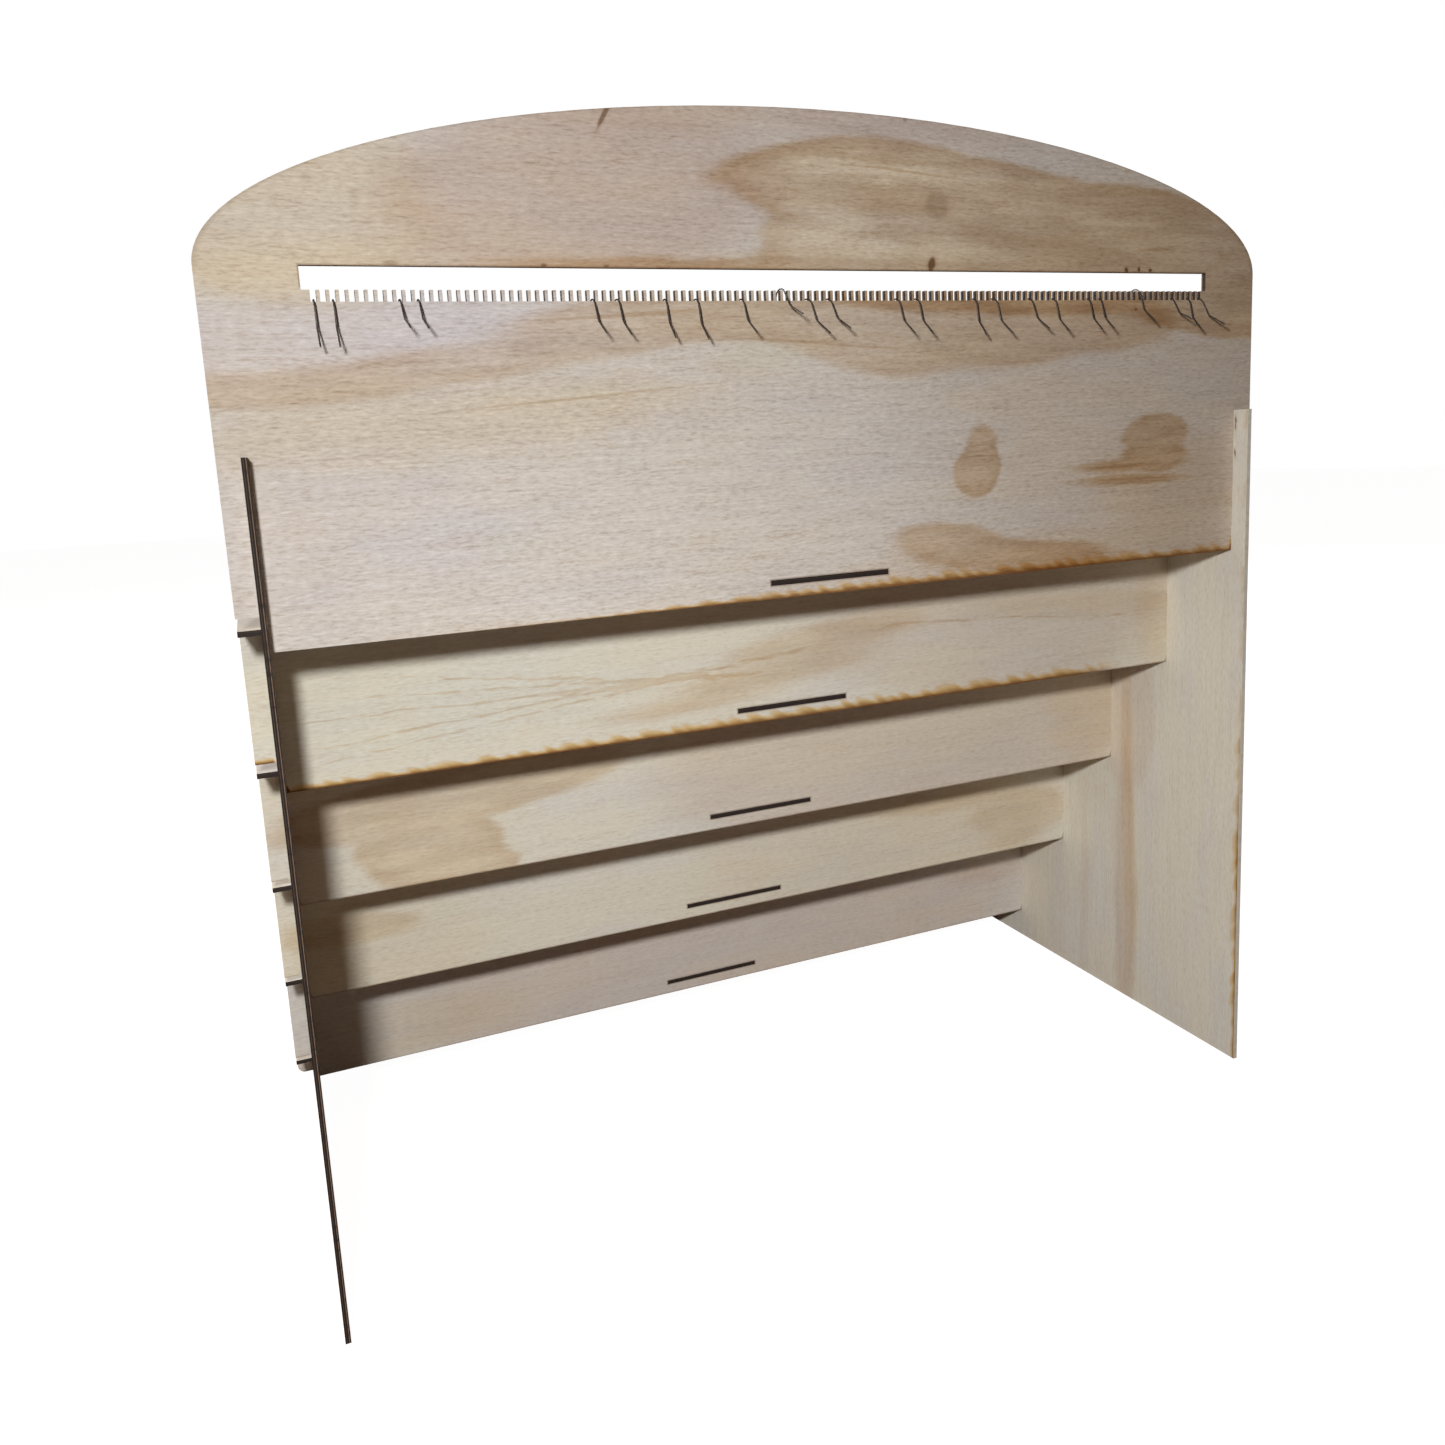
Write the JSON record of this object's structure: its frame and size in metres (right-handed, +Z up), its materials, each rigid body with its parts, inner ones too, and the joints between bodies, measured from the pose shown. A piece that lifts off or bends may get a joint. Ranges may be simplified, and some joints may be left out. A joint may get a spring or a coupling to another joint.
{
  "type": "tiered jewellery display stand",
  "caption": "Slot-together plywood display stand: stepped treads between two side panels, and an arched header with a comb slot that ear wires hang in.",
  "frame": {"origin": "middle of the footprint, on the surface that the stand rests on", "axes": "+X to the right seen from the back, +Y towards the front, down the steps, +Z up"},
  "size_m": [0.58, 0.2898, 0.5735],
  "materials": {
    "plywood": "raw, unsanded veneer with laser-browned edges",
    "ear_wire": "dull dark grey"
  },
  "bodies": {
    "stand": {"header_panel": "plywood", "riser_2": "plywood", "riser_3": "plywood", "riser_4": "plywood", "riser_5": "plywood", "front_lip": "plywood", "shelf_1": "plywood", "shelf_2": "plywood", "shelf_3": "plywood", "shelf_4": "plywood", "shelf_5": "plywood", "side_panel_left": "plywood", "side_panel_right": "plywood"},
    "ear_wire_01": {"ear_wire_01": "ear_wire"},
    "ear_wire_02": {"ear_wire_02": "ear_wire"},
    "ear_wire_03": {"ear_wire_03": "ear_wire"},
    "ear_wire_04": {"ear_wire_04": "ear_wire"},
    "ear_wire_05": {"ear_wire_05": "ear_wire"},
    "ear_wire_06": {"ear_wire_06": "ear_wire"},
    "ear_wire_07": {"ear_wire_07": "ear_wire"},
    "ear_wire_08": {"ear_wire_08": "ear_wire"},
    "ear_wire_09": {"ear_wire_09": "ear_wire"},
    "ear_wire_10": {"ear_wire_10": "ear_wire"},
    "ear_wire_11": {"ear_wire_11": "ear_wire"},
    "ear_wire_12": {"ear_wire_12": "ear_wire"},
    "ear_wire_13": {"ear_wire_13": "ear_wire"},
    "ear_wire_14": {"ear_wire_14": "ear_wire"},
    "ear_wire_15": {"ear_wire_15": "ear_wire"},
    "ear_wire_16": {"ear_wire_16": "ear_wire"},
    "ear_wire_17": {"ear_wire_17": "ear_wire"},
    "ear_wire_18": {"ear_wire_18": "ear_wire"},
    "ear_wire_19": {"ear_wire_19": "ear_wire"},
    "ear_wire_20": {"ear_wire_20": "ear_wire"},
    "ear_wire_21": {"ear_wire_21": "ear_wire"},
    "ear_wire_22": {"ear_wire_22": "ear_wire"},
    "ear_wire_23": {"ear_wire_23": "ear_wire"},
    "ear_wire_24": {"ear_wire_24": "ear_wire"}
  },
  "joints": [
    {"name": "ear_wire_01_swing", "type": "hinge", "parent": "stand", "child": "ear_wire_01", "pos_m": [-0.2438, -0.12523, 0.47853], "axis": [-1, 0, 0], "range_deg": [-25, 27]},
    {"name": "ear_wire_02_swing", "type": "hinge", "parent": "stand", "child": "ear_wire_02", "pos_m": [-0.2358, -0.12523, 0.47853], "axis": [-1, 0, 0], "range_deg": [-25, 27]},
    {"name": "ear_wire_03_swing", "type": "hinge", "parent": "stand", "child": "ear_wire_03", "pos_m": [-0.2078, -0.12523, 0.47853], "axis": [-0.9986, -0.0523, 0], "range_deg": [-49, 3]},
    {"name": "ear_wire_04_swing", "type": "hinge", "parent": "stand", "child": "ear_wire_04", "pos_m": [-0.1998, -0.12523, 0.47853], "axis": [-0.9994, -0.0349, 0], "range_deg": [-48, 4]},
    {"name": "ear_wire_05_swing", "type": "hinge", "parent": "stand", "child": "ear_wire_05", "pos_m": [-0.1198, -0.12523, 0.47853], "axis": [-0.9986, -0.0523, 0], "range_deg": [-39, 13]},
    {"name": "ear_wire_06_swing", "type": "hinge", "parent": "stand", "child": "ear_wire_06", "pos_m": [-0.1078, -0.12523, 0.47853], "axis": [-0.9976, -0.0698, 0], "range_deg": [-36, 16]},
    {"name": "ear_wire_07_swing", "type": "hinge", "parent": "stand", "child": "ear_wire_07", "pos_m": [-0.0838, -0.12523, 0.47853], "axis": [-0.9986, 0.0523, 0], "range_deg": [-31, 21]},
    {"name": "ear_wire_08_swing", "type": "hinge", "parent": "stand", "child": "ear_wire_08", "pos_m": [-0.0678, -0.12523, 0.47853], "axis": [-0.9998, -0.0175, 0], "range_deg": [-28, 24]},
    {"name": "ear_wire_09_swing", "type": "hinge", "parent": "stand", "child": "ear_wire_09", "pos_m": [-0.0438, -0.12523, 0.47853], "axis": [-0.9994, -0.0349, 0], "range_deg": [-37, 15]},
    {"name": "ear_wire_10_swing", "type": "hinge", "parent": "stand", "child": "ear_wire_10", "pos_m": [-0.0218, -0.12523, 0.48353], "axis": [-0.9903, -0.1392, 0], "range_deg": [-48, 4]},
    {"name": "ear_wire_11_swing", "type": "hinge", "parent": "stand", "child": "ear_wire_11", "pos_m": [-0.0078, -0.12523, 0.47853], "axis": [-0.9511, -0.309, 0], "range_deg": [-35, 17]},
    {"name": "ear_wire_12_swing", "type": "hinge", "parent": "stand", "child": "ear_wire_12", "pos_m": [0.0042, -0.12523, 0.47853], "axis": [-0.9816, -0.1908, 0], "range_deg": [-42, 10]},
    {"name": "ear_wire_13_swing", "type": "hinge", "parent": "stand", "child": "ear_wire_13", "pos_m": [0.0442, -0.12523, 0.47853], "axis": [-0.9945, -0.1045, 0], "range_deg": [-33, 19]},
    {"name": "ear_wire_14_swing", "type": "hinge", "parent": "stand", "child": "ear_wire_14", "pos_m": [0.0562, -0.12523, 0.47853], "axis": [-0.9986, -0.0523, 0], "range_deg": [-32, 20]},
    {"name": "ear_wire_15_swing", "type": "hinge", "parent": "stand", "child": "ear_wire_15", "pos_m": [0.0922, -0.12523, 0.47853], "axis": [-0.9962, 0.0872, 0], "range_deg": [-27, 25]},
    {"name": "ear_wire_16_swing", "type": "hinge", "parent": "stand", "child": "ear_wire_16", "pos_m": [0.1042, -0.12523, 0.47853], "axis": [-0.9659, -0.2588, 0], "range_deg": [-29, 23]},
    {"name": "ear_wire_17_swing", "type": "hinge", "parent": "stand", "child": "ear_wire_17", "pos_m": [0.1282, -0.12523, 0.47853], "axis": [-0.9976, -0.0698, 0], "range_deg": [-37, 15]},
    {"name": "ear_wire_18_swing", "type": "hinge", "parent": "stand", "child": "ear_wire_18", "pos_m": [0.1442, -0.12523, 0.47853], "axis": [-0.9994, 0.0349, 0], "range_deg": [-32, 20]},
    {"name": "ear_wire_19_swing", "type": "hinge", "parent": "stand", "child": "ear_wire_19", "pos_m": [0.1682, -0.12523, 0.47853], "axis": [-0.9848, 0.1736, 0], "range_deg": [-35, 17]},
    {"name": "ear_wire_20_swing", "type": "hinge", "parent": "stand", "child": "ear_wire_20", "pos_m": [0.1762, -0.12523, 0.47853], "axis": [-0.9848, 0.1736, 0], "range_deg": [-36, 16]},
    {"name": "ear_wire_21_swing", "type": "hinge", "parent": "stand", "child": "ear_wire_21", "pos_m": [0.2022, -0.12523, 0.48353], "axis": [-0.9945, -0.1045, 0], "range_deg": [-31, 21]},
    {"name": "ear_wire_22_swing", "type": "hinge", "parent": "stand", "child": "ear_wire_22", "pos_m": [0.2282, -0.12523, 0.47853], "axis": [-0.9945, 0.1045, 0], "range_deg": [-50, 2]},
    {"name": "ear_wire_23_swing", "type": "hinge", "parent": "stand", "child": "ear_wire_23", "pos_m": [0.2402, -0.12523, 0.47853], "axis": [-0.9781, 0.2079, 0], "range_deg": [-33, 19]},
    {"name": "ear_wire_24_swing", "type": "hinge", "parent": "stand", "child": "ear_wire_24", "pos_m": [0.2482, -0.12523, 0.47853], "axis": [-0.9703, -0.2419, 0], "range_deg": [-41, 11]}
  ]
}
